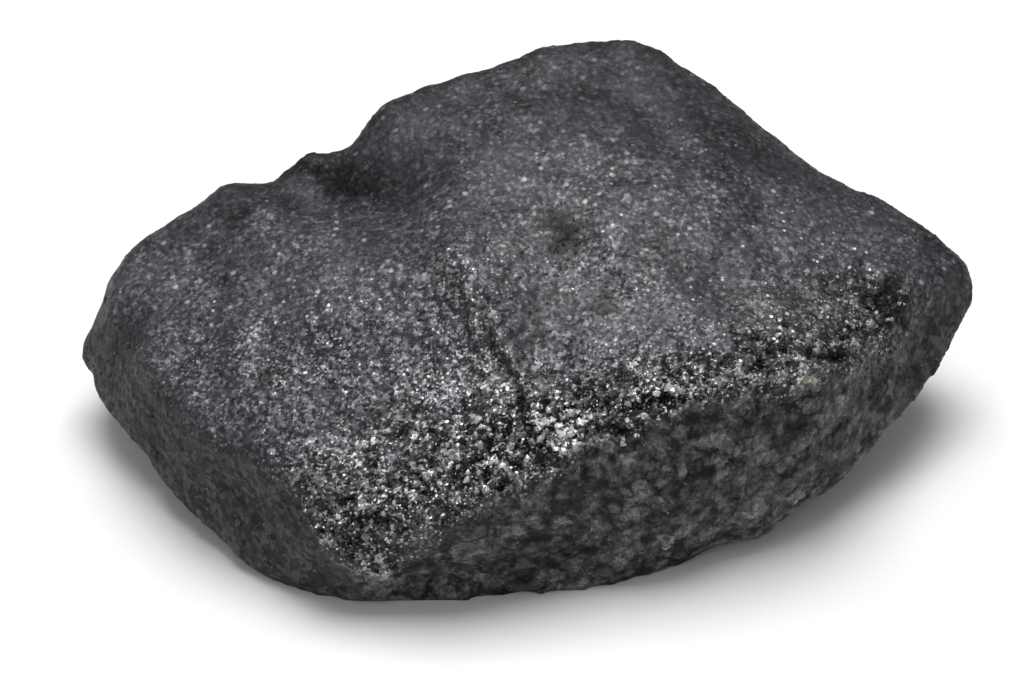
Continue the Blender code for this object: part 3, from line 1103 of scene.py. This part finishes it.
    def mosaic_level(self, mottle, broad):
        """How light each place of the mosaic is, and how far it is from its patch's border."""
        crooked = self.bend(self.bent, self.small_clouds["Color"], 1.2 * MM)
        patch = self.voronoi(crooked, DRAWN_PATCH)
        border = self.voronoi(crooked, DRAWN_PATCH, "DISTANCE_TO_EDGE")["Distance"]
        body = self.grey_ramp(patch["Distance"], (0.3, 0.03), (0.5, 0.02), (0.68, -0.03))
        level = self.plus(self.noise(self.place, 1.3 * MM, 4.0), body)
        level = self.plus(level, self.around_zero(self.channels(patch["Color"])[0], 0.23))
        level = self.plus(level, self.around_zero(mottle, 0.22))
        return self.plus(level, self.around_zero(broad, 0.25)), border

    def mosaic(self, mottle, broad):
        """Grey patches with dark cracks and gaps between them."""
        level, border = self.mosaic_level(mottle, broad)
        mosaic = self.ramp(
            level, (0.34, 0.011), (0.42, 0.030), (0.48, 0.062), (0.57, 0.092), (0.68, 0.165))
        gap = self.ramp(self.attribute("patch_seam"), (0.0, 0.5), (1.0, 1.0))
        mosaic = self.shaded(mosaic, gap)
        crack = self.ramp(border, (0.0, 0.2), (0.06, 0.5), (0.15, 1.0))
        cracked = self.ramp(self.broad_clouds, (0.4, 0.15), (0.6, 1.0))
        mosaic = self.mix(cracked, mosaic, self.shaded(mosaic, crack))
        mosaic = self.shaded(mosaic, self.ramp(self.fine[1], (0.0, 0.72), (1.0, 1.28)))
        sand = self.ramp(self.noise(self.place, 0.14 * MM, 1.0), (0.3, 0.72), (0.7, 1.32))
        tint = self.ramp(
            self.noise(self.place, 2.2 * MM),
            (0.35, (1.08, 1.0, 0.99)), (0.45, (1.04, 1.0, 1.02)),
            (0.55, (1.0, 1.01, 1.02)), (0.65, (1.02, 1.0, 1.08)))
        return self.shaded(self.shaded(mosaic, sand), tint)

    def stone(self):
        """The dull faces: the mosaic, or an even grain where they are calm, and a few flecks."""
        mottle = self.noise(self.place, 0.3 * MM, 3.0)
        broad = self.noise(self.place, 3.0 * MM)
        even = self.ramp(
            self.blend(0.4, self.blend(0.5, mottle, self.large[0]), broad),
            (0.3, (0.010, 0.010, 0.011)), (0.5, (0.032, 0.032, 0.035)), (0.65, (0.080, 0.079, 0.087)))
        stone = self.mix(self.attribute("calm"), self.mosaic(mottle, broad), even)
        return self.mix(self.dots(self.crowded_cells, 0.18), stone, (0.24, 0.24, 0.235))

    def stained(self, colour):
        """Rusty stains and pale patches."""
        rusty = self.mix(self.fine[1], (0.003, 0.002, 0.001), (0.024, 0.018, 0.011))
        colour = self.mix(self.times(self.attribute("rust"), 0.8), colour, rusty)
        pale = self.mix(self.fine[1], (0.10, 0.097, 0.08), (0.50, 0.48, 0.41))
        return self.mix(self.times(self.attribute("cream"), 0.8), colour, pale)

    def set_gloss(self):
        """Each small face has its own gloss, and worn and dull places are rougher."""
        gloss = self.ramp(self.fine[2], (0.0, 0.55), (0.6, 0.4), (1.0, 0.26))
        gloss = self.mix(self.times(self.soft, 0.6), gloss, (0.55, 0.55, 0.55))
        self.put(self.shader, "Roughness", self.mix(self.dull, gloss, (0.62, 0.62, 0.62)))
        metal = self.blend(self.dull, self.blend(self.soft, 0.6, 0.3), 0.3)
        self.put(self.shader, "Metallic", metal)
        shine = self.blend(self.dull, self.blend(self.soft, 0.5, 0.35), 0.3)
        # The painted shade and light in the light attribute also scale the specular level.
        self.put(self.shader, "Specular IOR Level", self.times(shine, self.light))


def floor_material():
    nodes = Nodes("pale floor")
    nodes.put(nodes.shader, "Base Color", (0.85, 0.85, 0.85, 1.0))
    nodes.put(nodes.shader, "Roughness", 0.9)
    return nodes.material


# ---------------------------------------------------------------- stage, light and camera

def make_floor():
    mesh = bpy.data.meshes.new("floor")
    shape = bmesh.new()
    bmesh.ops.create_grid(shape, x_segments=1, y_segments=1, size=FLOOR_HALF_WIDTH)
    shape.to_mesh(mesh)
    shape.free()
    floor = bpy.data.objects.new("floor", mesh)
    floor.location.z = -FLOOR_GAP
    mesh.materials.append(floor_material())
    bpy.context.scene.collection.objects.link(floor)


def soft_light(name, place, size, power):
    """A square lamp that faces the middle of the block."""
    lamp = bpy.data.lights.new(name, "AREA")
    lamp.size = size
    lamp.energy = power
    light = bpy.data.objects.new(name, lamp)
    light.location = place
    aim = LIGHT_AIM - Vector(place)
    light.rotation_euler = aim.to_track_quat("-Z", "Y").to_euler()
    bpy.context.scene.collection.objects.link(light)


def make_light():
    soft_light("overhead", (0.0, 0.08, 0.45), 0.3, 2.25)
    soft_light("front fill", (-0.25, -0.45, 0.35), 0.5, 0.4)
    world = bpy.data.worlds.new("studio")
    world.use_nodes = True
    sky = world.node_tree.nodes["Background"]
    sky.inputs["Color"].default_value = (1, 1, 1, 1)
    sky.inputs["Strength"].default_value = SKY_STRENGTH
    bpy.context.scene.world = world
    bpy.context.scene.view_settings.view_transform = "Standard"


def make_camera():
    lens = bpy.data.cameras.new("camera")
    lens.lens = CAMERA_LENS
    lens.clip_start = CAMERA_NEAREST
    camera = bpy.data.objects.new("camera", lens)
    back = Vector((0, -math.cos(CAMERA_ELEVATION), math.sin(CAMERA_ELEVATION)))
    camera.location = CAMERA_AIM + back * CAMERA_DISTANCE
    camera.rotation_euler = (-back).to_track_quat("-Z", "Y").to_euler()
    bpy.context.scene.collection.objects.link(camera)
    bpy.context.scene.camera = camera


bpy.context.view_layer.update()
make_camera()
make_light()
make_floor()
magnetite = Magnetite().material
skin_points, skin_facing = make_skin(magnetite)
make_crown_crystals(skin_points, skin_facing, magnetite)
make_band_crystals(skin_points, skin_facing, magnetite)
